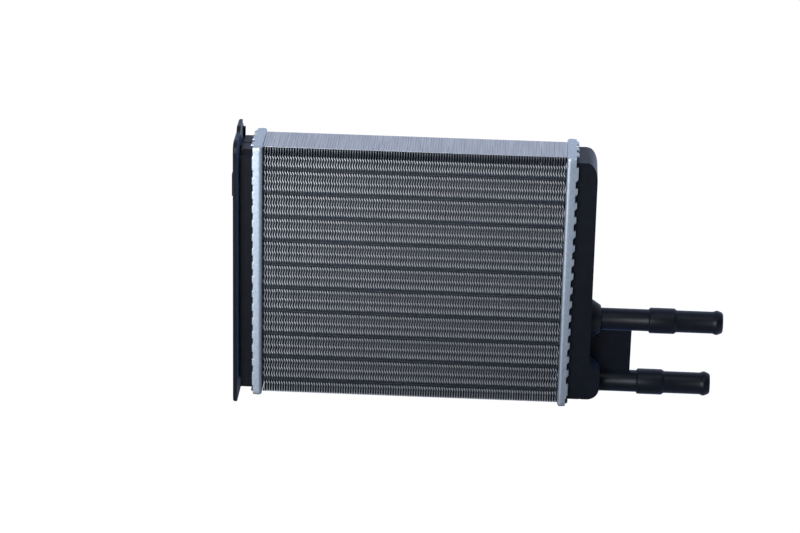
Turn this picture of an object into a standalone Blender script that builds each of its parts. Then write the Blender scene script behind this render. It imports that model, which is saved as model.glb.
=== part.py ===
# Crimped car heater core: plate fins on round tubes, two header plates, rubber gaskets
# and two moulded tanks. +X points along the hose stubs, -Y is the front, +Z is up.
# The origin is the bottom centre of the whole object's box.
import math

import bmesh
import bpy
from mathutils import Matrix, Vector

# Driving dimensions, in metres
CLEARANCE = 0.0003            # between pieces that touch on the real product

CORE_WIDTH = 0.2359           # between the core faces of the two header plates
FIN_HEIGHT = 0.2077
FIN_DEPTH = 0.0347
FIN_PITCH = 0.0020
FIN_THICKNESS = 0.0004
FIN_EDGE = 0.0040             # depth of the fin strips in front of and behind the tubes
FIN_FLANGE = 0.0006           # folded flanges that space the fins at top and bottom
FIN_END_GAP = 0.0011          # from the outermost fin to the header plate
FINS_PER_PANEL = 9            # fins between two joints of the flange skin

TUBE_DIAMETER = 0.0080
TUBE_WALL = 0.0005
TUBE_PITCH = 0.0198           # along a row
TUBE_ROW_PITCH = 0.0180       # between the front and the rear row
TUBE_FIRST = 0.0108           # lowest tube's axis above the fins' lower edge
TUBE_EDGE_MARGIN = 0.0030     # least fin left outside the highest tube
TUBE_SIDES = 8

HEADER_DEPTH = 0.0472
HEADER_OVERHANG = 0.0015      # past the fins at top and bottom
HEADER_WALL = 0.0012
HEADER_CORNER = 0.0026
HEADER_BEND = 0.0020
TAB_THICKNESS = 0.0016        # crimp tabs folded over the tank's foot
TAB_PITCH = 0.0118            # along the long sides
TAB_END_PITCH = 0.0132        # along the short sides
TAB_NOTCH = 0.0050
TAB_LAST = 0.0120             # least length of the last tab before a corner
CORNER_CUT_SIDE = 0.0082      # corner cut-out of the tabs along the long side
CORNER_CUT_END = 0.0064       # and along the short side

GASKET_THICKNESS = 0.0020

FOOT_THICKNESS = 0.0024       # tank flange that the tabs hold down
TAB_REACH = 0.0046            # from the header plate's outside to the tank's wall
TANK_INSET = 0.0056           # tank wall inside the header plate's ends
TANK_WALL = 0.0022
TANK_FILLET = 0.0040          # upright outer edges
OUTLET_TANK_REACH = 0.0162    # past the header rim
TANK_CORNER_REACH = 0.0076    # round top and bottom corners in front view, across
TANK_CORNER_RISE = 0.0110     # and upwards
RETURN_TANK_REACH = 0.0092
RETURN_TANK_ROUND = 0.0016
RETURN_LEDGE_DROP = 0.0038    # the front wall steps in this far below the top
RETURN_LEDGE_STEP = 0.0034
TOP_GROOVE_WIDTH = 0.0012
TOP_GROOVE_DEPTH = 0.0008
TOP_GROOVE_PLACE = 0.0003     # behind mid depth

PARTITION_WALL = 0.0014       # splits the outlet tank into two chambers
PARTITION_HEIGHT = 0.0400     # between the hose stubs, above the header's lower end

PIPE_SIDES = 16
PIPE_BORE = 0.0130
PIPE_DIAMETER = 0.0175
COLLAR_DIAMETER = 0.0204
COLLAR_LENGTH = 0.0225
COLLAR_LEAD = 0.0013          # taper at the collar's tank side
COLLAR_TAPER = 0.0022         # taper at the collar's hose side
HOSE_LENGTH = 0.0286          # from the collar to the bead
BEAD_DIAMETER = 0.0194
BEAD_LENGTH = 0.0078
BEAD_RISE = 0.0022            # from the hose seat up to the crown
BEAD_CROWN = 0.0010           # level part of the bead
TIP_DIAMETER = 0.0168         # where the bead's long taper meets the round end
TIP_ROUND = 0.0014
UPPER_PIPE_HEIGHT = 0.0680    # axis above the header's lower end
LOWER_PIPE_HEIGHT = 0.0151
UPPER_PIPE_ROOT = 0.0370      # from the boss to the collar
LOWER_PIPE_ROOT = 0.0295
UPPER_BOSS_REACH = 0.0076     # past the tank's outer face
UPPER_BOSS_ROOT = 0.0314      # diameter at the tank
UPPER_BOSS_END = 0.0212       # diameter at the boss's face
BOSS_REACH = 0.0084           # lower boss, past the tank's outer face
BOSS_SLOPE = 0.0077           # rise of its sloped shoulder
BOSS_LOW_CORNER = 0.0098
LOWER_BOSS_TOP = 0.0139       # lower boss's face above the lower stub's axis
WEB_THICKNESS = 0.0030
WEB_REACH = 0.0325            # past the tank's outer face

NECK_LENGTH = 0.0020          # joins the return tank to its closing plate
NECK_FRONT = -0.0040
NECK_REAR = 0.0140
NECK_INSET = 0.0010           # inside the tank's ends
PLATE_THICKNESS = 0.0032
PLATE_DEPTH = 0.0560
PLATE_CORNER = 0.0080         # top corners
PLATE_FOOT_CORNER = 0.0032
PLATE_ROUND = 0.0008
PLATE_BELOW = 0.0048          # past the header plate's lower end
PLATE_ABOVE = 0.0036          # past its upper end
EAR_RISE = 0.0033             # the plate's top is higher over its rear half
EAR_FRONT = 0.0010
EAR_REAR = 0.0240
LIP_HEIGHT = 0.0018           # return lip along the plate's rear edge
LIP_THICKNESS = 0.0030
LIP_INSET = 0.0020            # from the plate's rear edge
LIP_END = 0.0041              # short of the plate's ends
PAD_HEIGHT = 0.0180           # small pad on the plate's outer face
PAD_DEPTH = 0.0120
PAD_RISE = 0.0008
PAD_CENTRE = 0.1794           # above the header's lower end
PAD_FRONT = 0.0020            # from the plate's front edge

# Sizes worked out from the driving dimensions
EMBED = 0.0010                # how far joined bodies run into each other
core_half = CORE_WIDTH / 2
header_height = FIN_HEIGHT + 2 * HEADER_OVERHANG
gasket_start = HEADER_WALL + CLEARANCE
gasket_end = gasket_start + GASKET_THICKNESS
foot_start = gasket_end + CLEARANCE
foot_end = foot_start + FOOT_THICKNESS
header_rim = foot_end + CLEARANCE + TAB_THICKNESS
foot_margin = HEADER_WALL + CLEARANCE
tank_depth = HEADER_DEPTH - 2 * TAB_REACH
outlet_face = header_rim + OUTLET_TANK_REACH
boss_face = outlet_face + BOSS_REACH
return_face = header_rim + RETURN_TANK_REACH
plate_inner = return_face + NECK_LENGTH
plate_outer = plate_inner + PLATE_THICKNESS
stub_start = outlet_face - TANK_WALL
stub_length = COLLAR_LENGTH + HOSE_LENGTH + BEAD_LENGTH
upper_pipe_end = boss_face + UPPER_PIPE_ROOT + stub_length
lower_pipe_end = boss_face + LOWER_PIPE_ROOT + stub_length
tube_radius = TUBE_DIAMETER / 2
pipe_radius = PIPE_DIAMETER / 2
right_reach = core_half + max(upper_pipe_end, lower_pipe_end)
left_reach = core_half + plate_outer + PAD_RISE
core_x = (left_reach - right_reach) / 2
core_z = PLATE_BELOW


def clear_scene():
    for old in list(bpy.data.objects):
        bpy.data.objects.remove(old, do_unlink=True)


def material(name, colour, roughness, metallic):
    made = bpy.data.materials.new(name)
    made.use_nodes = True
    shader = made.node_tree.nodes["Principled BSDF"]
    shader.inputs["Base Color"].default_value = (*colour, 1.0)
    shader.inputs["Roughness"].default_value = roughness
    shader.inputs["Metallic"].default_value = metallic
    return made


def add_object(name, bm, surface, parent):
    """Turn a bmesh into a named object whose faces point out."""
    bmesh.ops.recalc_face_normals(bm, faces=bm.faces)
    mesh = bpy.data.meshes.new(name)
    bm.to_mesh(mesh)
    bm.free()
    mesh.materials.append(surface)
    obj = bpy.data.objects.new(name, mesh)
    obj.parent = parent
    bpy.context.scene.collection.objects.link(obj)
    return obj


def add_cutter(name, bm, parent):
    obj = add_object(name, bm, bpy.data.materials["cutter"], parent)
    obj.hide_render = True
    obj.display_type = "WIRE"
    return obj


def boolean(target, tool, operation):
    change = target.modifiers.new(tool.name, "BOOLEAN")
    change.object = tool
    change.operation = operation
    change.solver = "EXACT"


def join(target, name, bm, parent):
    boolean(target, add_cutter(name, bm, parent), "UNION")


def cut(target, name, bm, parent):
    boolean(target, add_cutter(name, bm, parent), "DIFFERENCE")


def smooth(obj, degrees=35.0):
    obj.data.shade_smooth()
    obj.data.set_sharp_from_angle(angle=math.radians(degrees))


def add_box(bm, low, high):
    """A box between two corners, given in any order."""
    size = [abs(b - a) for a, b in zip(low, high)]
    middle = [(a + b) / 2 for a, b in zip(low, high)]
    place = Matrix.Translation(middle) @ Matrix.Diagonal((*size, 1.0))
    bmesh.ops.create_cube(bm, size=1.0, matrix=place)


def add_prism(bm, outline, axis, start, end):
    """Extrude a closed outline along X (outline in y, z) or along Y (outline in x, z)."""
    if axis == "X":
        corners = [bm.verts.new((start, u, v)) for u, v in outline]
        travel = Vector((end - start, 0, 0))
    else:
        corners = [bm.verts.new((u, start, v)) for u, v in outline]
        travel = Vector((0, end - start, 0))
    face = bm.faces.new(corners)
    grown = bmesh.ops.extrude_face_region(bm, geom=[face])
    moved = [item for item in grown["geom"] if isinstance(item, bmesh.types.BMVert)]
    bmesh.ops.translate(bm, vec=travel, verts=moved)


def rounded_rectangle(depth, low, high, radius, steps=4):
    """Outline in y, z: centred in y, from low to high in z, with round corners."""
    half = depth / 2 - radius
    centres = [(half, high - radius), (-half, high - radius), (-half, low + radius), (half, low + radius)]
    points = []
    for quarter, (y, z) in enumerate(centres):
        for step in range(steps + 1):
            angle = math.pi / 2 * (quarter + step / steps)
            points.append((y + radius * math.cos(angle), z + radius * math.sin(angle)))
    return points


def add_turned(bm, profile, height, sides, hollow=False):
    """Turn (x, radius) points about a line along X at this height. A hollow profile closes
    on itself; a solid one gets a flat cap at each end."""
    angles = [2 * math.pi * (k + 0.5) / sides for k in range(sides)]
    loops = []
    for x, radius in profile:
        loops.append([bm.verts.new((x, radius * math.sin(a), height + radius * math.cos(a)))
                      for a in angles])
    following = loops[1:] + loops[:1] if hollow else loops[1:]
    for loop, beyond in zip(loops, following):
        for k in range(sides):
            after = (k + 1) % sides
            bm.faces.new((loop[k], loop[after], beyond[after], beyond[k]))
    if not hollow:
        bm.faces.new(loops[0])
        bm.faces.new(loops[-1])


def add_rod(bm, start, end, radius, place, sides):
    """A cylinder along X at place = (y, z)."""
    spin = Matrix.Translation(((start + end) / 2, *place)) @ Matrix.Rotation(math.pi / 2, 4, "Y")
    turn = Matrix.Rotation(math.pi / sides, 4, "Z")
    bmesh.ops.create_cone(bm, cap_ends=True, segments=sides, radius1=radius, radius2=radius,
                          depth=abs(end - start), matrix=spin @ turn)


def bevel(bm, wanted, width, steps):
    """Round the edges whose two ends pass the test together."""
    picked = [edge for edge in bm.edges if wanted(edge.verts[0].co, edge.verts[1].co)]
    bmesh.ops.bevel(bm, geom=picked, offset=width, segments=steps, profile=0.5, affect="EDGES")


def near(value, target):
    return abs(value - target) < 1e-5


def tube_places():
    """(row, y, z) of every tube axis, the front row half a pitch lower."""
    lowest = HEADER_OVERHANG + TUBE_FIRST
    highest = HEADER_OVERHANG + FIN_HEIGHT - tube_radius - TUBE_EDGE_MARGIN
    for row, y in enumerate((-TUBE_ROW_PITCH / 2, TUBE_ROW_PITCH / 2)):
        z = lowest + row * TUBE_PITCH / 2
        while z <= highest:
            yield row, y, z
            z += TUBE_PITCH


def fin_places():
    """Left face of every fin, evenly spaced between the header plates."""
    span = CORE_WIDTH - 2 * FIN_END_GAP - FIN_THICKNESS
    count = round(span / FIN_PITCH) + 1
    step = span / (count - 1)
    return [FIN_END_GAP - core_half + k * step for k in range(count)]


def cut_tube_holes(target, start, end, parent):
    """Cut a hole for every tube between two x places."""
    bm = bmesh.new()
    for _, y, z in tube_places():
        add_rod(bm, start, end, tube_radius + CLEARANCE, (y, z), TUBE_SIDES)
    cut(target, target.name + "_tube_holes", bm, parent)


def build_fin_pack(surface, parent):
    """Fins joined by their folded flanges. The two end fins are whole, with the tube holes;
    the others keep their front and rear strips, and the tubes run between these."""
    fins = fin_places()
    low = HEADER_OVERHANG
    high = HEADER_OVERHANG + FIN_HEIGHT
    half = FIN_DEPTH / 2
    block = bmesh.new()
    add_box(block, (fins[0], -half, low), (fins[-1] + FIN_THICKNESS, half, high))
    for fin in fins[FINS_PER_PANEL::FINS_PER_PANEL]:
        everything = block.verts[:] + block.edges[:] + block.faces[:]
        bmesh.ops.bisect_plane(block, geom=everything, plane_co=(fin + FIN_THICKNESS / 2, 0, 0),
                               plane_no=(1, 0, 0))
    pack = add_object("fin_pack", block, surface, parent)

    chamber = bmesh.new()
    add_box(chamber, (fins[0] + FIN_THICKNESS, FIN_EDGE - half, low + FIN_FLANGE),
            (fins[-1], half - FIN_EDGE, high - FIN_FLANGE))
    cut(pack, "fin_chamber", chamber, parent)

    slots = bmesh.new()
    for fin, following in zip(fins, fins[1:]):
        add_box(slots, (fin + FIN_THICKNESS, -half - EMBED, low + FIN_FLANGE),
                (following, half + EMBED, high - FIN_FLANGE))
    cut(pack, "fin_slots", slots, parent)
    cut_tube_holes(pack, -core_half - EMBED, core_half + EMBED, parent)


def build_tubes(surface, parent):
    """Each tube runs through both header plates and ends level with the gaskets."""
    reach = core_half + gasket_end
    inner = tube_radius - TUBE_WALL
    counts = [0, 0]
    for row, y, z in tube_places():
        counts[row] += 1
        bm = bmesh.new()
        add_turned(bm, [(-reach, tube_radius), (reach, tube_radius), (reach, inner), (-reach, inner)],
                   0, TUBE_SIDES, hollow=True)
        name = f"{('front', 'rear')[row]}_tube_{counts[row]:02d}"
        tube = add_object(name, bm, surface, parent)
        tube.location = (0, y, z)
        smooth(tube, 50)


def build_header(side, name, surface, parent):
    """Pan that the tubes pass through, with crimp tabs folded over the tank's foot."""
    def place(x):
        return side * (core_half + x)

    shell = bmesh.new()
    add_prism(shell, rounded_rectangle(HEADER_DEPTH, 0, header_height, HEADER_CORNER), "X",
              place(0), place(header_rim))
    bevel(shell, lambda a, b: near(a.x, place(0)) and near(b.x, place(0)), HEADER_BEND, 3)
    header = add_object(name, shell, surface, parent)
    smooth(header)

    pan = bmesh.new()
    add_prism(pan, rounded_rectangle(HEADER_DEPTH - 2 * HEADER_WALL, HEADER_WALL,
                                     header_height - HEADER_WALL, HEADER_CORNER - HEADER_WALL, 3),
              "X", place(HEADER_WALL), place(header_rim - TAB_THICKNESS))
    cut(header, name + "_pan", pan, parent)

    mouth = bmesh.new()
    add_box(mouth, (place(foot_end), -tank_depth / 2 - CLEARANCE, TANK_INSET - CLEARANCE),
            (place(header_rim + EMBED), tank_depth / 2 + CLEARANCE,
             header_height - TANK_INSET + CLEARANCE))
    cut(header, name + "_mouth", mouth, parent)

    notches = bmesh.new()
    inner = place(foot_end)
    outer = place(header_rim + EMBED)
    beyond = HEADER_DEPTH / 2 + EMBED
    side_count = int((header_height / 2 - CORNER_CUT_SIDE - TAB_LAST) / TAB_PITCH)
    for k in range(-side_count, side_count + 1):
        z = header_height / 2 + k * TAB_PITCH
        for sign in (-1, 1):
            add_box(notches, (inner, sign * tank_depth / 2, z - TAB_NOTCH / 2),
                    (outer, sign * beyond, z + TAB_NOTCH / 2))
    for end, inward in ((0, 1), (header_height, -1)):
        tip = end - inward * EMBED
        for sign in (-1, 1):
            y = sign * TAB_END_PITCH / 2
            add_box(notches, (inner, y - TAB_NOTCH / 2, tip),
                    (outer, y + TAB_NOTCH / 2, end + inward * TANK_INSET))
            add_box(notches, (inner, sign * (HEADER_DEPTH / 2 - CORNER_CUT_END), tip),
                    (outer, sign * beyond, end + inward * CORNER_CUT_SIDE))
    cut(header, name + "_notches", notches, parent)
    cut_tube_holes(header, place(-EMBED), place(gasket_start), parent)


def foot_outline(extra=0.0):
    margin = foot_margin + extra
    return rounded_rectangle(HEADER_DEPTH - 2 * margin, margin, header_height - margin,
                             HEADER_CORNER - HEADER_WALL, 3)


def build_gasket(side, name, surface, parent):
    """Rubber sheet between the header plate and the tank's foot, round every tube."""
    def place(x):
        return side * (core_half + x)

    sheet = bmesh.new()
    add_prism(sheet, foot_outline(), "X", place(gasket_start), place(gasket_end))
    gasket = add_object(name, sheet, surface, parent)
    cut_tube_holes(gasket, place(HEADER_WALL), place(foot_start), parent)


def arc(centre_x, centre_z, radius, start, steps=5, rise=None):
    """Quarter circle of (x, z) points from start degrees on, or a quarter ellipse that
    rises by its own measure."""
    rise = rise or radius
    angles = [math.radians(start + 90 * k / steps) for k in range(steps + 1)]
    return [(centre_x + radius * math.cos(a), centre_z + rise * math.sin(a)) for a in angles]


def outlet_body(bm, inset, start):
    """Outlet tank's body, or its cavity when inset is the wall: round corners in front view,
    then fillets along the upright outer edges."""
    half = tank_depth / 2 - inset
    low = TANK_INSET + inset
    high = header_height - TANK_INSET - inset
    outer = core_half + outlet_face - inset
    corner = TANK_CORNER_REACH - inset
    rise = TANK_CORNER_RISE - inset
    outline = [(core_half + start, low)]
    outline += arc(outer - corner, low + rise, corner, -90, rise=rise)
    outline += arc(outer - corner, high - rise, corner, 0, rise=rise)
    outline += [(core_half + start, high)]
    add_prism(bm, outline, "Y", -half, half)
    rounded = outer - corner - CLEARANCE
    bevel(bm, lambda a, b: min(a.x, b.x) > rounded and near(a.y, b.y), TANK_FILLET - inset, 3)


def upper_boss(bm):
    """Cone that carries the upper stub."""
    root = core_half + outlet_face
    profile = [(root - EMBED, UPPER_BOSS_ROOT / 2), (root, UPPER_BOSS_ROOT / 2),
               (root + UPPER_BOSS_REACH, UPPER_BOSS_END / 2)]
    add_turned(bm, profile, UPPER_PIPE_HEIGHT, PIPE_SIDES)


def lower_boss(bm):
    """Boss over the tank's whole depth, round below and sloped above the lower stub."""
    root = core_half + outlet_face
    face = core_half + boss_face
    top = LOWER_PIPE_HEIGHT + LOWER_BOSS_TOP
    inside = root - TANK_CORNER_REACH - EMBED
    outline = [(inside, TANK_INSET)]
    outline += arc(face - BOSS_LOW_CORNER, TANK_INSET + BOSS_LOW_CORNER, BOSS_LOW_CORNER, -90)
    outline += [(face, top), (root, top + BOSS_SLOPE), (inside, top + BOSS_SLOPE)]
    add_prism(bm, outline, "Y", -tank_depth / 2, tank_depth / 2)


def stub_profile(root_length):
    """Hose stub from the tank's inner wall to its end: root, collar with tapered ends, hose
    seat, bead with a long taper to the round end, and back through the bore."""
    start = core_half + stub_start
    collar = core_half + boss_face + root_length
    seat = collar + COLLAR_LENGTH
    bead = seat + HOSE_LENGTH
    end = bead + BEAD_LENGTH
    wide = COLLAR_DIAMETER / 2
    crown = BEAD_DIAMETER / 2
    return [(start, pipe_radius), (collar, pipe_radius), (collar + COLLAR_LEAD, wide),
            (seat - COLLAR_TAPER, wide), (seat, pipe_radius), (bead, pipe_radius),
            (bead + BEAD_RISE, crown), (bead + BEAD_RISE + BEAD_CROWN, crown),
            (end - TIP_ROUND, TIP_DIAMETER / 2), (end, TIP_DIAMETER / 2 - TIP_ROUND),
            (end, PIPE_BORE / 2), (start, PIPE_BORE / 2)]


def build_stub(name, height, root_length, surface, parent):
    """Hose stub seated in its boss."""
    bm = bmesh.new()
    add_turned(bm, stub_profile(root_length), 0, PIPE_SIDES, hollow=True)
    stub = add_object(name, bm, surface, parent)
    stub.location = (0, 0, height)
    smooth(stub)


def partition(bm):
    """Stepped wall in the outlet tank. It passes between the two stubs at the outer wall
    and halves the tubes at the gasket."""
    start_x = core_half + foot_start
    step_x = core_half + (foot_end + outlet_face) / 2
    far_x = core_half + outlet_face - TANK_WALL + EMBED
    low = PARTITION_HEIGHT
    high = header_height / 2
    wall = PARTITION_WALL
    half = tank_depth / 2 - TANK_WALL + EMBED
    outline = [(start_x, high), (step_x, high), (step_x, low), (far_x, low), (far_x, low + wall),
               (step_x + wall, low + wall), (step_x + wall, high + wall), (start_x, high + wall)]
    add_prism(bm, outline, "Y", -half, half)


def build_outlet_tank(surface, parent):
    """Tank with a boss for each hose stub, the web between them and the partition inside."""
    body = bmesh.new()
    outlet_body(body, 0, foot_start + EMBED)
    tank = add_object("outlet_tank", body, surface, parent)
    smooth(tank)

    foot = bmesh.new()
    add_prism(foot, foot_outline(), "X", core_half + foot_start, core_half + foot_end)
    join(tank, "outlet_foot", foot, parent)
    upper = bmesh.new()
    upper_boss(upper)
    join(tank, "upper_boss", upper, parent)
    lower = bmesh.new()
    lower_boss(lower)
    join(tank, "lower_boss", lower, parent)

    root = core_half + outlet_face
    web = bmesh.new()
    add_box(web, (root - EMBED, -WEB_THICKNESS / 2, LOWER_PIPE_HEIGHT + pipe_radius + CLEARANCE),
            (root + WEB_REACH, WEB_THICKNESS / 2, UPPER_PIPE_HEIGHT - pipe_radius - CLEARANCE))
    join(tank, "stub_web", web, parent)

    cavity = bmesh.new()
    outlet_body(cavity, TANK_WALL, foot_start - EMBED)
    cut(tank, "outlet_cavity", cavity, parent)
    wall = bmesh.new()
    partition(wall)
    join(tank, "outlet_partition", wall, parent)

    for name, height in (("upper", UPPER_PIPE_HEIGHT), ("lower", LOWER_PIPE_HEIGHT)):
        port = bmesh.new()
        add_rod(port, root - TANK_CORNER_REACH, core_half + stub_start, PIPE_BORE / 2, (0, height),
                PIPE_SIDES)
        cut(tank, name + "_port", port, parent)
        socket = bmesh.new()
        add_rod(socket, core_half + stub_start - CLEARANCE, core_half + boss_face + EMBED,
                pipe_radius + CLEARANCE, (0, height), PIPE_SIDES)
        cut(tank, name + "_socket", socket, parent)


def return_outline(inset):
    """Return tank's section in y, z, or its cavity's when inset is the wall: a ledge along
    the top of the front wall and, outside, a groove across the top."""
    half = tank_depth / 2 - inset
    low = TANK_INSET + inset
    high = header_height - TANK_INSET - inset
    ledge = high - RETURN_LEDGE_DROP
    step = RETURN_LEDGE_STEP - half
    groove = TOP_GROOVE_PLACE
    soft = RETURN_TANK_ROUND
    outline = [(-half, low), (half, low), (half, high - soft), (half - soft, high)]
    if not inset:
        outline += [(groove + TOP_GROOVE_WIDTH / 2, high), (groove, high - TOP_GROOVE_DEPTH),
                    (groove - TOP_GROOVE_WIDTH / 2, high)]
    outline += [(step, high), (step, ledge), (soft - half, ledge), (-half, ledge - soft)]
    return outline


def plate_outline():
    """Closing plate in y, z: round corners, and higher over the rear half of its top."""
    half = PLATE_DEPTH / 2
    low = -PLATE_BELOW
    high = header_height + PLATE_ABOVE
    radius = PLATE_CORNER
    foot = PLATE_FOOT_CORNER
    outline = arc(half - foot, low + foot, foot, -90, 3)
    outline += arc(half - radius, high - radius, radius, 0, 3)
    outline += [(EAR_REAR - EAR_RISE, high + EAR_RISE), (EAR_FRONT + EAR_RISE, high + EAR_RISE),
                (EAR_FRONT, high)]
    outline += arc(radius - half, high - radius, radius, 90, 3)
    outline += arc(foot - half, low + foot, foot, 180, 3)
    return outline


def build_return_tank(surface, parent):
    """Tank with the closing plate that it is moulded in one piece with."""
    def place(x):
        return -(core_half + x)

    body = bmesh.new()
    add_prism(body, return_outline(0), "X", place(foot_start + EMBED), place(return_face))
    tank = add_object("return_tank", body, surface, parent)

    foot = bmesh.new()
    add_prism(foot, foot_outline(), "X", place(foot_start), place(foot_end))
    join(tank, "return_foot", foot, parent)

    neck = bmesh.new()
    add_box(neck, (place(return_face - EMBED), NECK_FRONT, TANK_INSET + NECK_INSET),
            (place(plate_inner + EMBED), NECK_REAR, header_height - TANK_INSET - NECK_INSET))
    join(tank, "return_neck", neck, parent)

    plate = bmesh.new()
    add_prism(plate, plate_outline(), "X", place(plate_inner), place(plate_outer))
    outer = place(plate_outer)
    bevel(plate, lambda a, b: near(a.x, outer) and near(b.x, outer), PLATE_ROUND, 1)
    join(tank, "closing_plate", plate, parent)

    rear = PLATE_DEPTH / 2 - LIP_INSET
    lip = bmesh.new()
    add_box(lip, (place(plate_inner + EMBED), rear - LIP_THICKNESS, LIP_END - PLATE_BELOW),
            (place(plate_inner - LIP_HEIGHT), rear, header_height + PLATE_ABOVE - LIP_END))
    join(tank, "plate_lip", lip, parent)

    front = PAD_FRONT - PLATE_DEPTH / 2
    pad = bmesh.new()
    add_box(pad, (place(plate_outer - EMBED), front, PAD_CENTRE - PAD_HEIGHT / 2),
            (place(plate_outer + PAD_RISE), front + PAD_DEPTH, PAD_CENTRE + PAD_HEIGHT / 2))
    join(tank, "plate_pad", pad, parent)

    cavity = bmesh.new()
    add_prism(cavity, return_outline(TANK_WALL), "X", place(foot_start - EMBED),
              place(return_face - TANK_WALL))
    cut(tank, "return_cavity", cavity, parent)


def build():
    clear_scene()
    material("cutter", (0.8, 0.3, 0.1), 0.5, 0.0)
    fin_metal = material("mill_finish_fins", (0.62, 0.64, 0.67), 0.35, 1.0)
    header_metal = material("pressed_aluminium", (0.74, 0.79, 0.84), 0.32, 1.0)
    tube_metal = material("drawn_aluminium", (0.66, 0.68, 0.70), 0.30, 1.0)
    rubber = material("gasket_rubber", (0.02, 0.02, 0.02), 0.85, 0.0)
    plastic = material("moulded_black_plastic", (0.022, 0.025, 0.032), 0.42, 0.0)

    frame = bpy.data.objects.new("core_frame", None)
    frame.location = (core_x, 0, core_z)
    bpy.context.scene.collection.objects.link(frame)

    build_fin_pack(fin_metal, frame)
    build_tubes(tube_metal, frame)
    build_header(-1, "return_header", header_metal, frame)
    build_header(1, "outlet_header", header_metal, frame)
    build_gasket(-1, "return_gasket", rubber, frame)
    build_gasket(1, "outlet_gasket", rubber, frame)
    build_return_tank(plastic, frame)
    build_outlet_tank(plastic, frame)
    build_stub("upper_stub", UPPER_PIPE_HEIGHT, UPPER_PIPE_ROOT, plastic, frame)
    build_stub("lower_stub", LOWER_PIPE_HEIGHT, LOWER_PIPE_ROOT, plastic, frame)


build()
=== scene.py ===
import math
import random

import bmesh
import bpy
from mathutils import Matrix, Vector


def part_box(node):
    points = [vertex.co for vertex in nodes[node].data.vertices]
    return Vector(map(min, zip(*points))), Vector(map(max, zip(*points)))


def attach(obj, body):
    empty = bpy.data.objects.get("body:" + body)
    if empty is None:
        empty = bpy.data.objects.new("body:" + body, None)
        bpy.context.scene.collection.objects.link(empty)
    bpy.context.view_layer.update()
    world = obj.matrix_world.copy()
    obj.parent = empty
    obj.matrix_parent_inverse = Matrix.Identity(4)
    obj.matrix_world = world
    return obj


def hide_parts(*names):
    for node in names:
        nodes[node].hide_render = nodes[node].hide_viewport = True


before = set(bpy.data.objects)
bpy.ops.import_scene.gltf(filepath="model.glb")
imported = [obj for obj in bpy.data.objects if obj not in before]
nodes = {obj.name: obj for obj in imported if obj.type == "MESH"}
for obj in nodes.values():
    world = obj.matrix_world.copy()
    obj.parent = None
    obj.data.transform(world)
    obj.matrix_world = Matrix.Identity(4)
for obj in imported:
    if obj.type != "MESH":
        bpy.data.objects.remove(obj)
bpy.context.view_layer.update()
mm = 0.001


# Centres of one row of tubes as (y, z), from the bottom up.
def tubePlaces(row):
    places = []
    for name in nodes:
        if name.startswith(row):
            tubeLow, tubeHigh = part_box(name)
            places.append(((tubeLow.y + tubeHigh.y) / 2, (tubeLow.z + tubeHigh.z) / 2))
    return sorted(places, key=lambda place: place[1])


packLow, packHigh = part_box("fin_pack")
lowestTube, nextTube = (z for y, z in tubePlaces("front")[:2])
tubePitch = nextTube - lowestTube


# Colours are written as sRGB hex values.
def hexColour(text):
    channels = [int(text[k:k + 2], 16) / 255 for k in (0, 2, 4)]
    linear = [c / 12.92 if c <= 0.04045 else ((c + 0.055) / 1.055) ** 2.4 for c in channels]
    return (*linear, 1.0)


# Settings are sockets by name or number, or properties. A link comes from an output, or from a
# node's first one.
def addNode(tree, kind, settings=None, links=None):
    node = tree.nodes.new(kind)
    for name, value in (settings or {}).items():
        if isinstance(name, int) or name in node.inputs.keys():
            node.inputs[name].default_value = value
        else:
            setattr(node, name, value)
    for name, source in (links or {}).items():
        output = source.outputs[0] if isinstance(source, bpy.types.Node) else source
        tree.links.new(output, node.inputs[name])
    return node


def startMaterial(name, settings):
    made = bpy.data.materials.new(name)
    made.use_nodes = True
    tree = made.node_tree
    tree.nodes.clear()
    shader = addNode(tree, "ShaderNodeBsdfPrincipled", settings)
    addNode(tree, "ShaderNodeOutputMaterial", links={"Surface": shader})
    place = addNode(tree, "ShaderNodeTexCoord").outputs["Object"]
    return made, tree, shader, place


# A stop is (position, colour), where the colour is a hex value or a number for a grey.
def setRamp(ramp, stops):
    elements = ramp.color_ramp.elements
    while len(elements) < len(stops):
        elements.new(0.5)
    for element, (position, colour) in zip(elements, stops):
        grey = not isinstance(colour, str)
        element.position = position
        element.color = (colour, colour, colour, 1.0) if grey else hexColour(colour)


# Soft blotches of a real size that run between two colours.
def addBlotches(tree, vector, size, detail, stops):
    noise = addNode(tree, "ShaderNodeTexNoise", {"Scale": 1 / size, "Detail": detail},
                    {"Vector": vector})
    tint = addNode(tree, "ShaderNodeValToRGB", links={"Fac": noise})
    setRamp(tint, stops)
    return tint


# A fine grain that shows as relief.
def addGrain(tree, shader, place, look):
    grain = addNode(tree, "ShaderNodeTexNoise", {"Scale": 1 / look["grain"], "Detail": 2.0},
                    {"Vector": place})
    bump = addNode(tree, "ShaderNodeBump", {"Strength": look["bump"], "Distance": look["bumpDepth"]},
                   {"Height": grain})
    tree.links.new(bump.outputs["Normal"], shader.inputs["Normal"])


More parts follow.
